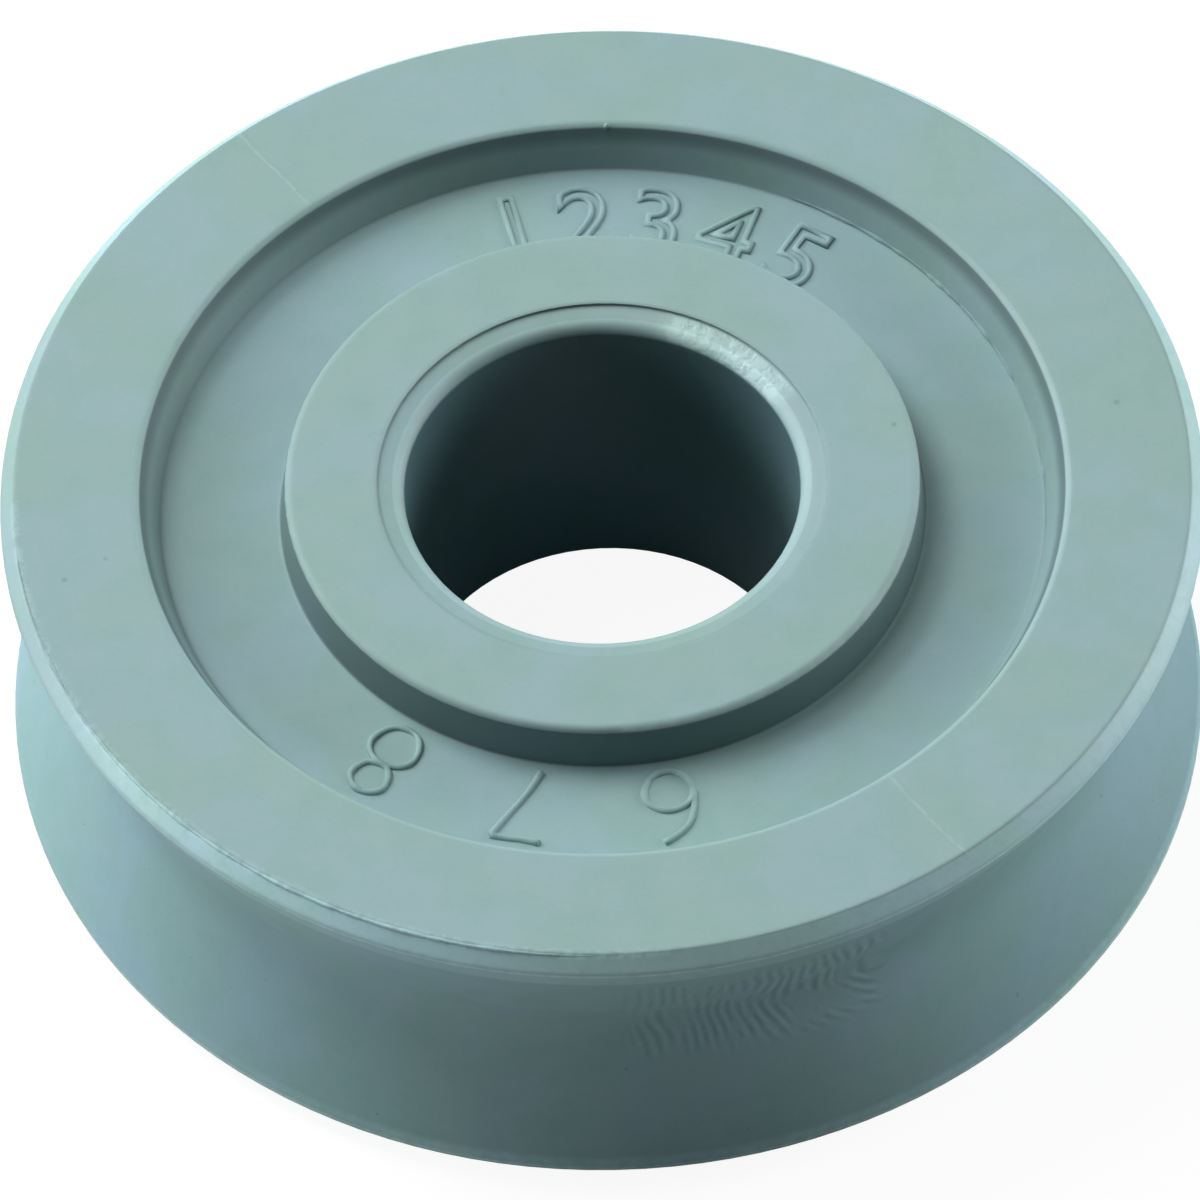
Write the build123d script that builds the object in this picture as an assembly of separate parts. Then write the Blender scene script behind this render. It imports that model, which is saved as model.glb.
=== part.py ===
"""Wire rope sheave, injection moulded in one piece.

One section is drawn in the XZ plane, from the bore out to the rim, and
revolved about Z. Both faces are alike but for the bore's mouth, so the
outline is drawn for the upper half and mirrored, and the shallow ring that
leads a pin in is then taken out of the upper side. Millimetres, with the
origin on the bore's axis at mid width and Z along the bore.
"""

import os
from math import radians, tan

from build123d import *

# Overall sizes
outside_diameter = 38.0
rim_width = 11.2  # between the two flat rim faces
hub_stand_out = 0.2  # how far each hub face stands out beyond its rim face

# Bore, with a shallow ring at its upper mouth that leads a pin in
bore_diameter = 12.5
lead_in_width = 0.85  # of the ring, all round the bore
lead_in_step = 0.08  # sharp step down from the hub face to the ring
lead_in_slope = 10.0  # of the ring, down towards the bore, in degrees
upper_edge_radius = 0.42  # where the ring rolls over into the bore
lower_edge_break = 0.1  # at the bore's plain lower mouth

# Recessed web between the hub and the rim
hub_wall = 3.75  # from the bore out to the hub's edge
hub_draft_angle = 6.0  # the hub's side leans out towards the web
hub_edge_radius = 0.22
rim_wall = 4.35  # from the recess out to the outside of the rim
recess_depth = 1.4  # below the rim face
recess_draft_angle = 26.0  # the rim's inner side leans in towards the web
recess_edge_break = 0.1

# Rim edge and rope groove
rim_chamfer_reach = 0.45  # across the rim face
rim_chamfer_height = 0.5  # down the outside of the rim
rim_land_width = 0.15  # of the outermost band, between the chamfer and the groove
groove_angle = 134.0  # between the two walls of the groove
groove_root_radius = 2.4

# Worked out from the sizes above
outside_radius = outside_diameter / 2
bore_radius = bore_diameter / 2
lead_in_radius = bore_radius + lead_in_width
lead_in_fall = lead_in_width * tan(radians(lead_in_slope))
hub_radius = bore_radius + hub_wall
recess_radius = outside_radius - rim_wall
rim_face = rim_width / 2
hub_face = rim_face + hub_stand_out
web_face = rim_face - recess_depth
hub_foot_radius = hub_radius + (hub_face - web_face) * tan(radians(hub_draft_angle))
recess_foot_radius = recess_radius - recess_depth * tan(radians(recess_draft_angle))
rim_shoulder = rim_face - rim_chamfer_height
groove_mouth = rim_shoulder - rim_land_width
groove_apex_radius = outside_radius - groove_mouth / tan(radians(groove_angle / 2))

# Corners of the upper half of the section, as distance from the axis and height
bore_middle = (bore_radius, 0)
bore_mouth = (bore_radius, hub_face)
hub_edge = (hub_radius, hub_face)
hub_foot = (hub_foot_radius, web_face)
recess_foot = (recess_foot_radius, web_face)
recess_edge = (recess_radius, rim_face)
rim_face_edge = (outside_radius - rim_chamfer_reach, rim_face)
rim_shoulder_edge = (outside_radius, rim_shoulder)
groove_edge = (outside_radius, groove_mouth)
groove_apex = (groove_apex_radius, 0)

# Corners of what the lead-in ring takes out
bore_edge = (bore_radius, hub_face - lead_in_step - lead_in_fall)
lead_in_floor = (lead_in_radius, hub_face - lead_in_step)
lead_in_edge = (lead_in_radius, hub_face)

CORNER_TOLERANCE = 1e-4


def corners_of(section, corner):
    """The section's vertices at a corner and at its mirror image on the other face."""
    from_axis, height = corner
    return section.vertices().filter_by(
        lambda vertex: abs(vertex.X - from_axis) < CORNER_TOLERANCE
        and abs(abs(vertex.Y) - height) < CORNER_TOLERANCE
    )


with BuildPart() as sheave:
    with BuildSketch(Plane.XZ) as section:
        with BuildLine():
            Polyline(
                bore_middle,
                bore_mouth,
                hub_edge,
                hub_foot,
                recess_foot,
                recess_edge,
                rim_face_edge,
                rim_shoulder_edge,
                groove_edge,
                groove_apex,
            )
            mirror(about=Plane.XZ)
        make_face()
        fillet(corners_of(section, groove_apex), groove_root_radius)
        fillet(corners_of(section, hub_edge), hub_edge_radius)
        chamfer(corners_of(section, recess_edge), recess_edge_break)
        chamfer(corners_of(section, bore_mouth).sort_by(Axis.Y)[0], lower_edge_break)
        with BuildLine():
            Polyline(bore_edge, lead_in_floor, lead_in_edge, bore_mouth, close=True)
        make_face(mode=Mode.SUBTRACT)
        fillet(corners_of(section, bore_edge), upper_edge_radius)
    revolve(axis=Axis.Z)

sheave.part.label = "sheave"

os.makedirs("parts", exist_ok=True)
export_step(sheave.part, "parts/sheave.step")
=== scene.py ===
"""Looks for a one-piece moulded wire rope sheave, lying flat on a pale floor. Metres, +Z up."""

from math import cos, pi, radians, sin

import bmesh
import bpy
from mathutils import Matrix, Vector, noise


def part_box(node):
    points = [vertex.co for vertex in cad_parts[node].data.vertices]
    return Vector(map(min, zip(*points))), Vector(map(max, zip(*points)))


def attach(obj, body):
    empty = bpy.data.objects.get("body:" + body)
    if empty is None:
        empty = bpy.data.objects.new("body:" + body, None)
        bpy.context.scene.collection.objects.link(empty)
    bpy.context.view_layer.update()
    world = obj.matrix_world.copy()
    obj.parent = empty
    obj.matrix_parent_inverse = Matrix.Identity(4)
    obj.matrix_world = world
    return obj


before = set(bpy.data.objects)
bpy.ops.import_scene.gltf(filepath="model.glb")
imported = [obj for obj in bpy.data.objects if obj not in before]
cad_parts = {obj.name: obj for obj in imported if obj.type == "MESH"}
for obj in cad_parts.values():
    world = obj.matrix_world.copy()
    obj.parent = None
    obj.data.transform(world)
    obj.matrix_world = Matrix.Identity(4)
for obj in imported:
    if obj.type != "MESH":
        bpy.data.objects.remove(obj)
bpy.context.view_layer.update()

MM = 0.001
body_low, body_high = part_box("sheave")

# Sizes of the moulding, in mm
RIM_RADIUS = body_high.x / MM
HUB_FACE = body_high.z / MM
RIM_FACE = HUB_FACE - 0.2
WEB_FACE = RIM_FACE - 1.4
BORE_RADIUS = 6.25
RING_RADIUS = 7.1
BORE_WALL_TOP = 5.22
HUB_RADIUS = 10.0
HUB_FOOT_RADIUS = 10.17
RECESS_FOOT_RADIUS = 13.97
RECESS_RADIUS = 14.65
RIM_FACE_RADIUS = 18.55
GROOVE_MOUTH = 4.95


# Shader maths


class Value:
    """A socket whose arithmetic adds the Math nodes it needs."""

    def __init__(self, shader, socket):
        self.shader = shader
        self.socket = socket

    def __add__(self, other):
        return self.shader.math("ADD", self, other)

    def __sub__(self, other):
        return self.shader.math("SUBTRACT", self, other)

    def __mul__(self, other):
        return self.shader.math("MULTIPLY", self, other)

    def __pow__(self, other):
        return self.shader.math("POWER", self, other)

    def __radd__(self, other):
        return self.shader.math("ADD", other, self)

    def __rsub__(self, other):
        return self.shader.math("SUBTRACT", other, self)

    def __rmul__(self, other):
        return self.shader.math("MULTIPLY", other, self)

    def __abs__(self):
        return self.shader.math("ABSOLUTE", self)


class Shader:
    """The node tree of one material or of the room, filled one call at a time."""

    def __init__(self, owner):
        owner.use_nodes = True
        self.tree = owner.node_tree
        self.tree.nodes.clear()

    def feed(self, socket, value):
        if isinstance(value, Value):
            self.tree.links.new(value.socket, socket)
        elif isinstance(value, bpy.types.NodeSocket):
            self.tree.links.new(value, socket)
        else:
            socket.default_value = value

    def node(self, kind, settings=None, sockets=None):
        """A node: its settings are set first, then its sockets, by name or by place."""
        node = self.tree.nodes.new(kind)
        for name, setting in (settings or {}).items():
            setattr(node, name, setting)
        for name, value in (sockets or {}).items():
            self.feed(node.inputs[name], value)
        return node

    def math(self, operation, *values):
        return Value(self, self.node("ShaderNodeMath", {"operation": operation}, dict(enumerate(values))).outputs[0])

    def smooth(self, value, low, high):
        """0 below low, 1 above high, and smooth between. With high below low it falls instead."""
        settings = {"interpolation_type": "SMOOTHSTEP", "clamp": True}
        start, end = (low, high) if low < high else (high, low)
        made = Value(
            self,
            self.node(
                "ShaderNodeMapRange", settings, {"Value": value, "From Min": start, "From Max": end}
            ).outputs["Result"],
        )
        return made if low < high else 1.0 - made

    def band(self, value, low, high, soft):
        """1 between low and high, fading over soft at each end."""
        return self.smooth(value, low - soft, low) * self.smooth(value, high + soft, high)

    def noise(self, place, scale, detail, roughness):
        sockets = {"Vector": place, "Scale": scale, "Detail": detail, "Roughness": roughness}
        return Value(self, self.node("ShaderNodeTexNoise", None, sockets).outputs["Fac"])

    def mix(self, factor, first, second, blend="MIX"):
        settings = {"data_type": "RGBA", "blend_type": blend}
        return self.node("ShaderNodeMix", settings, {0: factor, 6: first, 7: second}).outputs[2]

    def tone(self, factor, colour, tint):
        """The colour, multiplied by the tint where the factor is 1."""
        return self.mix(factor, colour, (*tint, 1.0), "MULTIPLY")


# Camera


def place_camera():
    height_angle = radians(51.55)
    look_down = radians(0.42)
    turn_left = radians(0.02)
    lean = radians(-1.70)
    distance = 26.6 * RIM_RADIUS * MM
    data = bpy.data.cameras.new("camera")
    data.sensor_width = 36.0
    data.lens = 481.2
    data.clip_start = 0.01
    camera = bpy.data.objects.new("camera", data)
    bpy.context.scene.collection.objects.link(camera)
    away = Vector((0.0, -cos(height_angle), sin(height_angle)))
    place = Vector((0.0, 0.0, RIM_FACE * MM)) + distance * away
    tilt = Matrix.Rotation(pi / 2 - height_angle - look_down, 4, "X")
    yaw = Matrix.Rotation(turn_left, 4, "Y")
    roll = Matrix.Rotation(lean, 4, "Z")
    camera.matrix_world = Matrix.Translation(place) @ tilt @ yaw @ roll
    bpy.context.scene.camera = camera


place_camera()


# Moulded plastic

PLASTIC_BLUE = (0.266, 0.400, 0.418)
PLASTIC_GREEN = (0.257, 0.396, 0.377)
MOTTLE_TONE = (0.93, 0.97, 0.95)
GRAIN_TONE = (0.92, 0.95, 0.96)
# Painted shade darkens the bore, and painted light makes its upper mouth paler.
BORE_PAINTED_SHADE_TONE = (0.34, 0.42, 0.46)
BORE_MOUTH_PAINTED_LIGHT_TONE = (1.22, 1.20, 1.20)
# Painted shade darkens the recess walls under the lip and the hub's wall; a painted highlight makes the recess edge
# paler.
LIP_PAINTED_SHADE_TONE = (0.38, 0.41, 0.43)
RECESS_EDGE_PAINTED_HIGHLIGHT_TONE = (1.12, 1.12, 1.12)
HUB_WALL_PAINTED_SHADE_TONE = (0.36, 0.39, 0.41)
GROOVE_TONE = (0.90, 1.0, 1.08)
WEB_TONE = (0.97, 1.0, 1.03)
# Painted light makes the rim's edge bands and the groove's mouths paler; the pale edge arc is partly flash, partly
# painted highlight.
RIM_BAND_PAINTED_LIGHT_TONE = (1.52, 1.57, 1.63)
UPPER_MOUTH_PAINTED_LIGHT_TONE = (1.30, 1.28, 1.27)
LOWER_MOUTH_PAINTED_LIGHT_TONE = (1.45, 1.40, 1.38)
FLASH_AND_PAINTED_HIGHLIGHT_TONE = (1.20, 1.18, 1.18)
# The scuff on the ring is painted paler as a highlight.
SCUFF_PAINTED_HIGHLIGHT_TONE = (1.55, 1.48, 1.47)
# Painted shadow and painted highlight on alternate fingertip ridges.
RIDGE_PAINTED_SHADOW_TONE = (0.76, 0.80, 0.80)
RIDGE_PAINTED_HIGHLIGHT_TONE = (1.18, 1.16, 1.14)
PARTING_TONE = (1.16, 1.14, 1.14)
SPECK_TONE = (0.60, 0.68, 0.62)
GRIT_TONE = (0.66, 0.70, 0.72)

# In mm and degrees
EDGE_ROUNDING = 0.24
RELIEF_DEPTH = 0.012
GROOVE_LINE_RADIUS = 17.6
PARTING_LINE_AZIMUTH = 126.7
PARTING_LINE_OFFSET = 0.23
# The arc of the pale rim edge, partly flash and partly painted highlight.
FLASH_AND_HIGHLIGHT_ARC = (-178.0, -90.0)
# The arc of the scuff, which is painted paler as a highlight.
SCUFF_AND_HIGHLIGHT_ARC = (34.0, 66.0)
RIDGE_SPACING = 0.37
RIDGE_CENTRE_ALONG = 9.0
RIDGE_CENTRE_DOWN = 1.35
SPECKS = [(9.26, 1.82, 0.13), (-15.67, -2.48, 0.11), (-16.96, -3.27, 0.14), (16.33, 2.62, 0.15)]


class Skin:
    """Where a point of the moulding lies, in mm and radians, and the noises that its marks share."""

    def __init__(self, s):
        self.place = s.node(
            "ShaderNodeVectorMath",
            {"operation": "SCALE"},
            {0: s.node("ShaderNodeTexCoord").outputs["Object"], "Scale": 1.0 / MM},
        ).outputs[0]
        axes = s.node("ShaderNodeSeparateXYZ", None, {0: self.place})
        self.x, self.y, self.z = (Value(s, axes.outputs[i]) for i in range(3))
        self.radius = (self.x * self.x + self.y * self.y) ** 0.5
        self.turn = s.math("ARCTAN2", self.y, self.x)
        self.height = abs(self.z)
        self.on_upper = s.smooth(self.z, 0.0, 1.0)
        self.drift = s.noise(self.place, 0.20, 2.0, 0.60)
        self.mottle = s.noise(self.place, 0.75, 2.0, 0.6)
        self.grain = s.noise(self.place, 5.0, 1.0, 0.6)
        self.rag = s.noise(self.place, 2.6, 2.0, 0.7)
        self.groove = s.smooth(self.height, GROOVE_MOUTH + 0.02, GROOVE_MOUTH - 0.10)
        self.groove = self.groove * s.smooth(self.radius, 15.5, 16.0)


def grey_plastic(s, skin, paler):
    """Slow drifts between a bluer and a greener grey, and a finer mottle."""
    blue = tuple(paler * part for part in PLASTIC_BLUE)
    green = tuple(paler * part for part in PLASTIC_GREEN)
    colour = s.mix(s.smooth(skin.drift, 0.40, 0.60), (*blue, 1.0), (*green, 1.0))
    colour = s.tone(s.smooth(skin.mottle, 0.38, 0.66) * 0.8, colour, MOTTLE_TONE)
    return s.tone(s.smooth(skin.grain, 0.35, 0.75) * 0.45, colour, GRAIN_TONE)


def bore_painted_shade_and_light(s, skin, colour):
    """Painted shade darkens the bore, and painted light makes its upper mouth paler. Gives the colour and where the
    bore is.
    """
    bore = s.smooth(skin.radius, BORE_RADIUS + 0.06, BORE_RADIUS + 0.01)
    bore = bore * s.smooth(skin.z, BORE_WALL_TOP + 0.12, BORE_WALL_TOP)
    mouth = s.band(skin.radius, BORE_RADIUS + 0.04, BORE_RADIUS + 0.35, 0.04)
    mouth = mouth * s.smooth(skin.z, BORE_WALL_TOP, BORE_WALL_TOP + 0.12)
    return s.tone(mouth, s.tone(bore, colour, BORE_PAINTED_SHADE_TONE), BORE_MOUTH_PAINTED_LIGHT_TONE), bore


def bluer_groove_and_web(s, skin, colour):
    web = s.smooth(skin.height, WEB_FACE + 0.25, WEB_FACE + 0.05)
    web = web * s.band(skin.radius, HUB_FOOT_RADIUS, RECESS_FOOT_RADIUS, 0.1)
    return s.tone(web, s.tone(skin.groove, colour, GROOVE_TONE), WEB_TONE)


def recess_walls_painted_shade(s, skin, colour):
    """Painted shade darkens the steep walls, most of all under the lip, and a painted highlight makes the lip's edge
    a little paler; painted shade also darkens the hub's wall.
    """
    wall = s.band(skin.height, WEB_FACE + 0.02, RIM_FACE - 0.05, 0.04)
    wall = wall * s.band(skin.radius, RECESS_FOOT_RADIUS, RECESS_RADIUS - 0.07, 0.03)
    lip = s.smooth(skin.height, RIM_FACE - 0.75, RIM_FACE - 0.25)
    # Painted shade on the steep walls, strongest under the lip.
    colour = s.tone(wall * (0.30 + 0.70 * lip), colour, LIP_PAINTED_SHADE_TONE)
    edge = s.band(skin.radius, RECESS_RADIUS - 0.01, RECESS_RADIUS + 0.12, 0.03)
    edge = edge * s.smooth(skin.height, RIM_FACE - 0.16, RIM_FACE - 0.12)
    # Painted highlight on the recess edge.
    colour = s.tone(edge, colour, RECESS_EDGE_PAINTED_HIGHLIGHT_TONE)
    hub_wall = s.band(skin.height, WEB_FACE + 0.02, HUB_FACE - 0.20, 0.06)
    hub_wall = hub_wall * s.band(skin.radius, HUB_RADIUS - 0.02, HUB_FOOT_RADIUS + 0.02, 0.04)
    # Painted shade on the hub's wall.
    return s.tone(hub_wall, colour, HUB_WALL_PAINTED_SHADE_TONE)


def rim_painted_light(s, skin, colour):
    """Painted light makes the rim's edge bands and the groove's mouths paler, and part of the face's edge is paler
    and ragged, partly flash and partly a painted highlight.
    """
    painted_light_band = s.smooth(skin.radius, RIM_FACE_RADIUS - 0.02, RIM_FACE_RADIUS + 0.06)
    painted_light_band = painted_light_band * s.smooth(skin.height, GROOVE_MOUTH - 0.05, GROOVE_MOUTH + 0.05)
    painted_light_band = painted_light_band * (0.1 + 0.9 * s.smooth(skin.x, -18.3, -14.5))
    colour = s.tone(painted_light_band * (0.55 + 0.9 * skin.rag), colour, RIM_BAND_PAINTED_LIGHT_TONE)
    mouth = s.band(skin.height, GROOVE_MOUTH - 0.75, GROOVE_MOUTH, 0.18)
    mouth = mouth * s.smooth(skin.radius, 18.3, 18.6) * (0.45 + skin.rag)
    colour = s.tone(mouth * skin.on_upper, colour, UPPER_MOUTH_PAINTED_LIGHT_TONE)
    low_mouth = mouth * s.smooth(skin.height, GROOVE_MOUTH - 0.40, GROOVE_MOUTH - 0.15)
    low_mouth = low_mouth * (0.4 + 0.9 * skin.rag) * (0.15 + 0.85 * s.smooth(skin.x, -15.0, -5.0))
    colour = s.tone(low_mouth * (1.0 - skin.on_upper), colour, LOWER_MOUTH_PAINTED_LIGHT_TONE)
    # A paler ragged edge on one arc: partly flash, partly painted highlight.
    arc = s.band(skin.turn, radians(FLASH_AND_HIGHLIGHT_ARC[0]), radians(FLASH_AND_HIGHLIGHT_ARC[1]), radians(10.0)) * skin.on_upper
    edge = s.smooth(skin.radius, RIM_FACE_RADIUS - 0.26, RIM_FACE_RADIUS - 0.04)
    edge = edge * s.smooth(skin.radius, RIM_FACE_RADIUS + 0.16, RIM_FACE_RADIUS + 0.05)
    edge = edge * s.smooth(skin.height, RIM_FACE - 0.3, RIM_FACE - 0.2)
    return s.tone(edge * arc * s.smooth(skin.rag, 0.40, 0.56), colour, FLASH_AND_PAINTED_HIGHLIGHT_TONE)


def scuffed_ring_painted_highlight(s, skin, colour):
    """A scuff on the ring at the upper mouth of the bore, painted paler as a highlight. Gives the colour, the scuff
    and its marks.
    """
    ring = s.band(skin.radius, BORE_RADIUS + 0.02, RING_RADIUS - 0.08, 0.04) * s.smooth(skin.z, 5.0, 5.2)
    scuff_and_highlight = ring * s.band(skin.turn, radians(SCUFF_AND_HIGHLIGHT_ARC[0]), radians(SCUFF_AND_HIGHLIGHT_ARC[1]), radians(9.0))
    marks = s.smooth(skin.rag, 0.36, 0.60)
    return s.tone(scuff_and_highlight * (0.55 + 0.6 * marks), colour, SCUFF_PAINTED_HIGHLIGHT_TONE), scuff_and_highlight, marks


def fingertip_ridges(s, skin, colour):
    """Fine ridges left by a fingertip in the groove, as rings about one point, with painted shadow and painted
    highlight on alternate ridges. Gives the colour and the ridges.
    """
    along = (skin.turn + pi / 2) * GROOVE_LINE_RADIUS
    down = s.math("MINIMUM", skin.z, 0.0) * 0.96 + s.math("MAXIMUM", skin.z, 0.0) * 0.30
    wander = s.noise(skin.place, 0.35, 1.0, 0.5)
    reach = ((along - RIDGE_CENTRE_ALONG) ** 2.0 + (down - RIDGE_CENTRE_DOWN) ** 2.0) ** 0.5 + wander
    ridges = s.math("SINE", reach * (2.0 * pi / RIDGE_SPACING))
    patch = s.band(along, 1.6, 7.9, 2.2) * s.band(skin.z, -0.9, 2.9, 0.9) * skin.groove
    prints = ridges * patch * s.smooth(skin.mottle, 0.36, 0.56)
    colour = s.tone(s.smooth(prints, 0.0, 1.0) * 0.8, colour, RIDGE_PAINTED_SHADOW_TONE)
    return s.tone(s.smooth(prints, 0.0, -1.0) * 0.8, colour, RIDGE_PAINTED_HIGHLIGHT_TONE), prints


def parting_line(s, skin, colour):
    """The mould's parting line across each rim face, on one diameter. Gives the colour and the line."""
    azimuth = radians(PARTING_LINE_AZIMUTH)
    straying = (skin.drift - 0.5) * 0.5
    across = abs(skin.x * sin(azimuth) - skin.y * cos(azimuth) + PARTING_LINE_OFFSET + straying)
    rim_face = s.smooth(skin.radius, RECESS_RADIUS, RECESS_RADIUS + 0.3)
    rim_face = rim_face * s.smooth(skin.height, RIM_FACE - 0.1, RIM_FACE - 0.02)
    line = s.smooth(across, 0.10, 0.0) * rim_face
    return s.tone(line * s.smooth(skin.rag, 0.35, 0.6), colour, PARTING_TONE), line


def dirt(s, skin, colour):
    """Specks moulded into the faces, and grit in the groove. Gives the colour and the grit."""
    specks = 0.0
    for speck_x, speck_y, size in SPECKS:
        away = ((skin.x - speck_x) ** 2.0 + (skin.y - speck_y) ** 2.0) ** 0.5
        specks = s.smooth(away, size, 0.3 * size) + specks
    colour = s.tone(specks * skin.on_upper * 0.6, colour, SPECK_TONE)
    grit = s.smooth(skin.rag, 0.735, 0.76) * skin.groove
    return s.tone(grit * 0.8, colour, GRIT_TONE), grit


def moulded_plastic(name, paler=1.0):
    """Blue-grey acetal as it comes out of the mould. Thin flash and raised strokes take a paler one, which paints
    light on them.
    """
    material = bpy.data.materials.new(name)
    s = Shader(material)
    skin = Skin(s)
    colour, bore = bore_painted_shade_and_light(s, skin, grey_plastic(s, skin, paler))
    colour = bluer_groove_and_web(s, skin, colour)
    colour = rim_painted_light(s, skin, recess_walls_painted_shade(s, skin, colour))
    colour, scuff_and_highlight, scuff_and_highlight_marks = scuffed_ring_painted_highlight(s, skin, colour)
    colour, prints = fingertip_ridges(s, skin, colour)
    colour, parting = parting_line(s, skin, colour)
    colour, grit = dirt(s, skin, colour)
    relief = skin.grain * 0.12 + skin.mottle * 0.30 + prints * 0.9 + parting * 0.8
    relief = relief + scuff_and_highlight * scuff_and_highlight_marks * 0.8 - grit * 0.5
    rounded = s.node("ShaderNodeBevel", {"samples": 2}, {"Radius": EDGE_ROUNDING * MM})
    bump = s.node(
        "ShaderNodeBump",
        None,
        {"Strength": 1.0, "Distance": RELIEF_DEPTH * MM, "Height": relief, "Normal": rounded.outputs[0]},
    )
    roughness = 0.46 + 0.10 * skin.mottle - bore * 0.10 - scuff_and_highlight * 0.12
    surface = s.node(
        "ShaderNodeBsdfPrincipled",
        None,
        {"Base Color": colour, "Roughness": roughness, "Normal": bump.outputs[0], "IOR": 1.48},
    )
    s.node("ShaderNodeOutputMaterial", None, {"Surface": surface.outputs[0]})
    return material


PLASTIC = moulded_plastic("moulded_plastic")
# Paler copies of the plastic, which paint light on the raised strokes and on the flash.
RAISED_PLASTIC_PAINTED_LIGHT = moulded_plastic("raised_plastic_painted_light", 1.10)
THIN_FLASH_PAINTED_LIGHT = moulded_plastic("thin_flash_painted_light", 1.12)
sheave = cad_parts["sheave"]
for material_slot in sheave.material_slots:
    material_slot.material = PLASTIC


# Small moulded features


def finished(shape, name, material):
    """The bmesh, in mm, as an object in metres that rides with the sheave."""
    bmesh.ops.remove_doubles(shape, verts=shape.verts, dist=0.0005)
    bmesh.ops.recalc_face_normals(shape, faces=shape.faces)
    bmesh.ops.scale(shape, verts=shape.verts, vec=(MM, MM, MM))
    mesh = bpy.data.meshes.new(name)
    shape.to_mesh(mesh)
    shape.free()
    for face in mesh.polygons:
        face.use_smooth = True
    mesh.materials.append(material)
    piece = bpy.data.objects.new(name, mesh)
    bpy.context.scene.collection.objects.link(piece)
    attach(piece, "root")
    return piece


def placed_on_web(source, shape, azimuth, radius):
    """Adds the curve's mesh to the shape, centred on the web at this azimuth with its top outwards."""
    mesh = bpy.data.meshes.new_from_object(source.evaluated_get(bpy.context.evaluated_depsgraph_get()))
    glyph = bmesh.new()
    glyph.from_mesh(mesh)
    low = [min(v.co[i] for v in glyph.verts) for i in range(2)]
    high = [max(v.co[i] for v in glyph.verts) for i in range(2)]
    middle = Vector(((low[0] + high[0]) / 2, (low[1] + high[1]) / 2, 0.0))
    move = (
        Matrix.Rotation(radians(azimuth), 4, "Z")
        @ Matrix.Translation((radius, 0.0, WEB_FACE))
        @ Matrix.Rotation(-pi / 2, 4, "Z")
        @ Matrix.Translation(-middle)
    )
    bmesh.ops.transform(glyph, matrix=move, verts=glyph.verts)
    glyph.to_mesh(mesh)
    glyph.free()
    shape.from_mesh(mesh)
    bpy.data.meshes.remove(mesh)
    data = source.data
    bpy.data.objects.remove(source)
    bpy.data.curves.remove(data)


def outlined_digit(digit):
    """The outline of a digit as a thin round bead, in mm."""
    data = bpy.data.curves.new("digit", "FONT")
    data.body = digit
    data.size = 3.7
    data.fill_mode = "NONE"
    data.bevel_depth = 0.105
    data.bevel_resolution = 2
    data.resolution_u = 5
    piece = bpy.data.objects.new("digit", data)
    bpy.context.scene.collection.objects.link(piece)
    bpy.context.view_layer.update()
    return piece


def loop(x, y, radius):
    """A hand-cut ring, a little out of round."""
    return [
        (x + radius * (1.0 + 0.06 * sin(3.0 * a)) * cos(a), y + radius * sin(a))
        for a in (2.0 * pi * i / 14 for i in range(14))
    ]


STROKES = {
    "6": [([(1.30, 2.78), (0.62, 2.50), (0.12, 1.78), (0.05, 0.95)], False), (loop(0.82, 0.82, 0.78), True)],
    "7": [
        ([(0.0, 2.72), (0.55, 2.68), (1.05, 2.74), (1.55, 2.70)], False),
        ([(1.55, 2.70), (1.15, 1.75), (0.72, 0.85), (0.50, 0.0)], False),
    ],
    "8": [(loop(0.82, 0.80, 0.80), True), (loop(0.82, 2.20, 0.62), True)],
}


def stroked_digit(digit):
    """A digit cut by hand into the mould with one round-nosed stroke, in mm."""
    data = bpy.data.curves.new("digit", "CURVE")
    data.dimensions = "3D"
    data.bevel_depth = 0.115
    data.bevel_resolution = 2
    data.resolution_u = 6
    data.use_fill_caps = True
    for points, closed in STROKES[digit]:
        spline = data.splines.new("NURBS")
        spline.points.add(len(points) - 1)
        for i, (point, (px, py)) in enumerate(zip(spline.points, points)):
            point.co = (px, py, 0.0, 1.0)
            point.radius = 1.0 + 0.18 * sin(2.3 * i + 1.1)
        spline.use_cyclic_u = closed
        spline.order_u = 3
        spline.use_endpoint_u = not closed
    piece = bpy.data.objects.new("digit", data)
    bpy.context.scene.collection.objects.link(piece)
    bpy.context.view_layer.update()
    return piece


def digits(name, maker, places, radius):
    shape = bmesh.new()
    for digit, azimuth in places:
        placed_on_web(maker(digit), shape, azimuth, radius)
    finished(shape, name, RAISED_PLASTIC_PAINTED_LIGHT)


OUTLINED_PLACES = [("1", 102.5), ("2", 91.5), ("3", 80.5), ("4", 69.0), ("5", 57.5)]
STROKED_PLACES = [("6", -81.0), ("7", -103.5), ("8", -126.0)]
digits("outlined_digits", outlined_digit, OUTLINED_PLACES, 11.85)
digits("stroked_digits", stroked_digit, STROKED_PLACES, 12.0)


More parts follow.
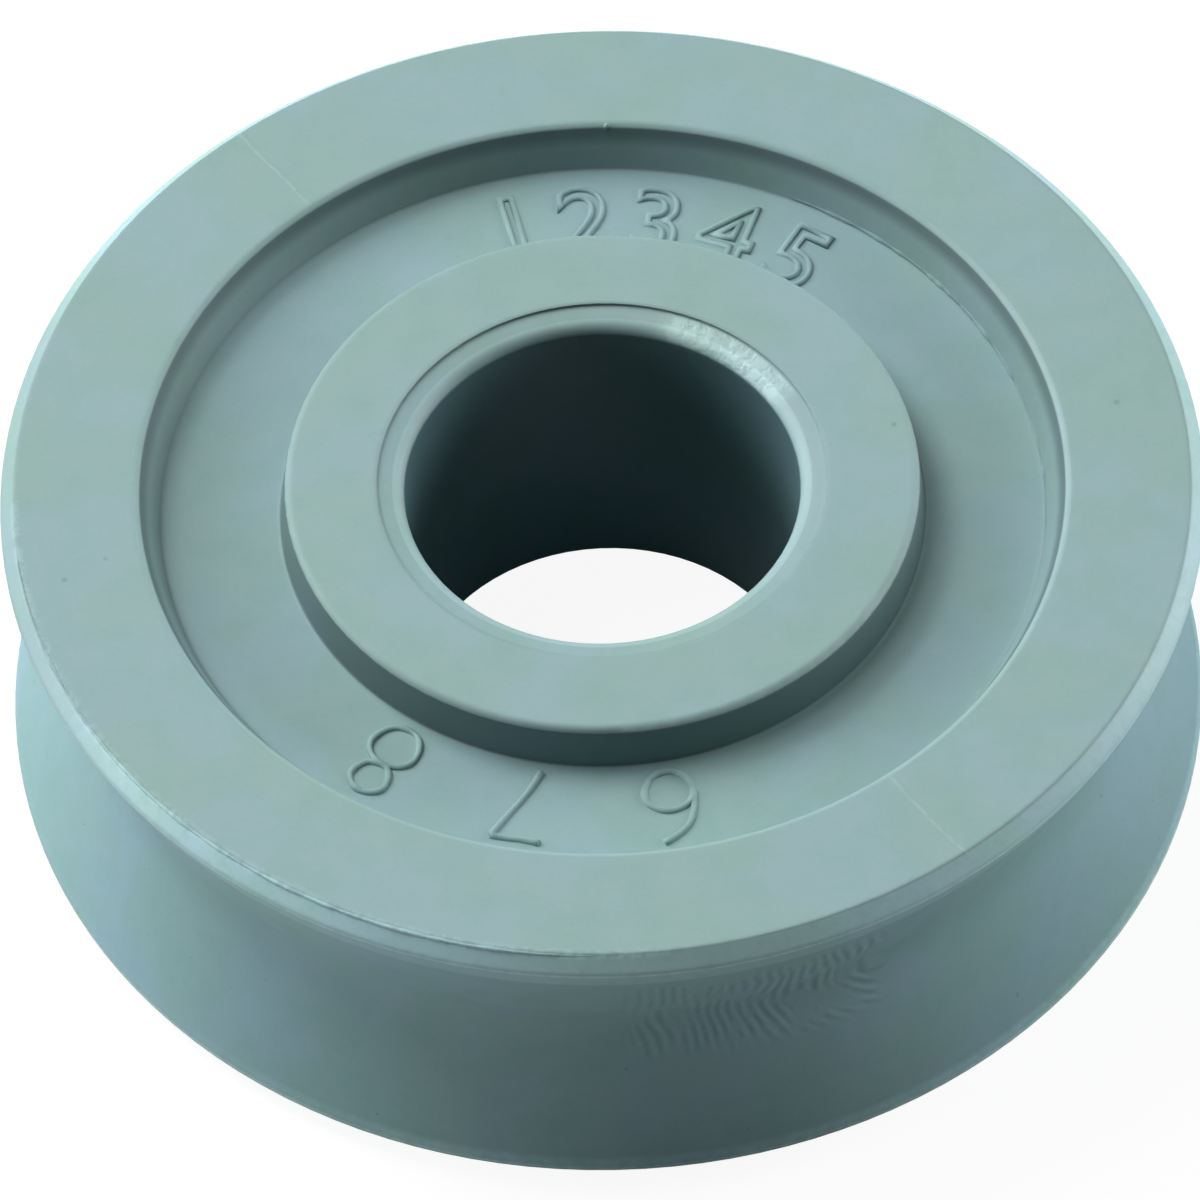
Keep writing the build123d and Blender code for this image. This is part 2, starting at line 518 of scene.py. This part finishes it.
def ragged_bead(name, radius, height, thickness, start, end, steps, wander, seed):
    """A thin bead of flash round part of an edge, ragged along its length and fading at its ends."""
    shape = bmesh.new()
    bmesh.ops.create_circle(shape, segments=8, radius=thickness)
    turn = Matrix.Translation((radius, 0.0, height)) @ Matrix.Rotation(pi / 2, 4, "X")
    bmesh.ops.transform(shape, matrix=Matrix.Rotation(radians(start), 4, "Z") @ turn, verts=shape.verts)
    bmesh.ops.spin(
        shape,
        geom=shape.verts[:] + shape.edges[:],
        cent=(0.0, 0.0, 0.0),
        axis=(0.0, 0.0, 1.0),
        angle=radians(end - start),
        steps=steps,
        use_merge=False,
    )
    span = radians(end - start)
    for vertex in shape.verts:
        out = Vector((vertex.co.x, vertex.co.y, 0.0)).normalized()
        core = out * radius + Vector((0.0, 0.0, height))
        along = (Vector((cos(radians(start)), sin(radians(start)), 0.0)).angle(out)) / abs(span)
        fade = min(1.0, 7.0 * min(along, 1.0 - along)) ** 0.5 if 0.0 < along < 1.0 else 0.0
        rough = 1.0 + wander * noise.noise(Vector((out.x * 21.0 + seed, out.y * 21.0, 0.0)))
        rough += 0.5 * wander * noise.noise(Vector((out.x * 70.0, out.y * 70.0 + seed, 0.0)))
        vertex.co = core + (vertex.co - core) * max(0.02, fade * rough)
    bmesh.ops.holes_fill(shape, edges=[edge for edge in shape.edges if edge.is_boundary], sides=8)
    return finished(shape, name, THIN_FLASH_PAINTED_LIGHT)


ragged_bead("rim_edge_flash", RIM_FACE_RADIUS + 0.03, RIM_FACE - 0.045, 0.06, -174.0, -92.0, 240, 0.45, 3.0)
ragged_bead("recess_foot_flash", RECESS_FOOT_RADIUS + 0.05, WEB_FACE + 0.04, 0.07, 66.0, -8.0, 220, 0.7, 8.0)


def gate_nib():
    """The stub of a trimmed gate on the recess edge."""
    shape = bmesh.new()
    bmesh.ops.create_icosphere(shape, subdivisions=3, radius=0.15)
    bmesh.ops.scale(shape, verts=shape.verts, vec=(0.8, 0.7, 1.3))
    bmesh.ops.translate(shape, verts=shape.verts, vec=(0.5, RECESS_RADIUS - 0.02, RIM_FACE - 0.14))
    finished(shape, "gate_nib", THIN_FLASH_PAINTED_LIGHT)


gate_nib()


# Floor, room and lamps

FLOOR_BOUNCE = 0.5
FLOOR_PALE = 0.85
FLOOR_GLOW = 0.92
FLOOR_SHADE = 0.14
ROOM_LEVEL = 0.02


def background_rays(s):
    """1 on rays that see the background straight from the camera, and 1 on those by gloss or through glass."""
    rays = s.node("ShaderNodeLightPath")
    glossy = s.math("MAXIMUM", rays.outputs["Is Glossy Ray"], rays.outputs["Is Transmission Ray"])
    return Value(s, rays.outputs["Is Camera Ray"]), glossy


def floor_material():
    material = bpy.data.materials.new("pale_floor")
    s = Shader(material)
    camera_ray, glossy_ray = background_rays(s)
    dim = s.node("ShaderNodeBsdfDiffuse", None, {"Color": (FLOOR_BOUNCE, FLOOR_BOUNCE, FLOOR_BOUNCE, 1.0)})
    pale = s.node("ShaderNodeBsdfDiffuse", None, {"Color": (FLOOR_PALE, FLOOR_PALE, FLOOR_PALE, 1.0)})
    glow = s.node("ShaderNodeEmission", None, {"Color": (1.0, 1.0, 1.0, 1.0), "Strength": FLOOR_GLOW})
    lit = s.node("ShaderNodeBsdfDiffuse", None, {"Color": (FLOOR_SHADE, FLOOR_SHADE, FLOOR_SHADE, 1.0)})
    seen = s.node("ShaderNodeAddShader", None, {0: glow.outputs[0], 1: lit.outputs[0]})
    bounced = s.node("ShaderNodeMixShader", None, {0: glossy_ray, 1: dim.outputs[0], 2: pale.outputs[0]})
    final = s.node("ShaderNodeMixShader", None, {0: camera_ray, 1: bounced.outputs[0], 2: seen.outputs[0]})
    s.node("ShaderNodeOutputMaterial", None, {"Surface": final.outputs[0]})
    return material


def floor():
    shape = bmesh.new()
    bmesh.ops.create_grid(shape, x_segments=1, y_segments=1, size=3.0)
    bmesh.ops.translate(shape, verts=shape.verts, vec=(0.0, 0.0, body_low.z))
    mesh = bpy.data.meshes.new("floor")
    shape.to_mesh(mesh)
    shape.free()
    mesh.materials.append(floor_material())
    piece = bpy.data.objects.new("floor", mesh)
    bpy.context.scene.collection.objects.link(piece)


floor()


def room():
    world = bpy.data.worlds.new("room")
    bpy.context.scene.world = world
    s = Shader(world)
    dim = s.node("ShaderNodeBackground", None, {"Strength": ROOM_LEVEL, "Color": (1.0, 1.0, 1.0, 1.0)})
    white = s.node("ShaderNodeBackground", None, {"Strength": 1.0, "Color": (1.0, 1.0, 1.0, 1.0)})
    pale = s.math("MAXIMUM", *background_rays(s))
    final = s.node("ShaderNodeMixShader", None, {0: pale, 1: dim.outputs[0], 2: white.outputs[0]})
    s.node("ShaderNodeOutputWorld", None, {"Surface": final.outputs[0]})


room()


def soft_panel(name, azimuth, elevation, power, size=0.5, distance=0.9):
    """A square soft panel aimed at the sheave. Azimuth is measured from +X towards +Y."""
    data = bpy.data.lights.new(name, "AREA")
    data.shape = "RECTANGLE"
    data.size = size
    data.size_y = size
    data.energy = power
    piece = bpy.data.objects.new(name, data)
    a, e = radians(azimuth), radians(elevation)
    towards = Vector((cos(a) * cos(e), sin(a) * cos(e), sin(e)))
    turn = towards.to_track_quat("Z", "Y").to_matrix().to_4x4()
    piece.matrix_world = Matrix.Translation(distance * towards) @ turn
    bpy.context.scene.collection.objects.link(piece)


soft_panel("right_panel", 18.0, 12.0, 7.4)
soft_panel("left_panel", 176.0, 12.0, 3.9)
soft_panel("back_left_panel", 140.0, 36.0, 5.9)
soft_panel("top_panel", 140.0, 60.0, 3.4)

bpy.context.scene.view_settings.view_transform = "Standard"

bpy.context.view_layer.update()
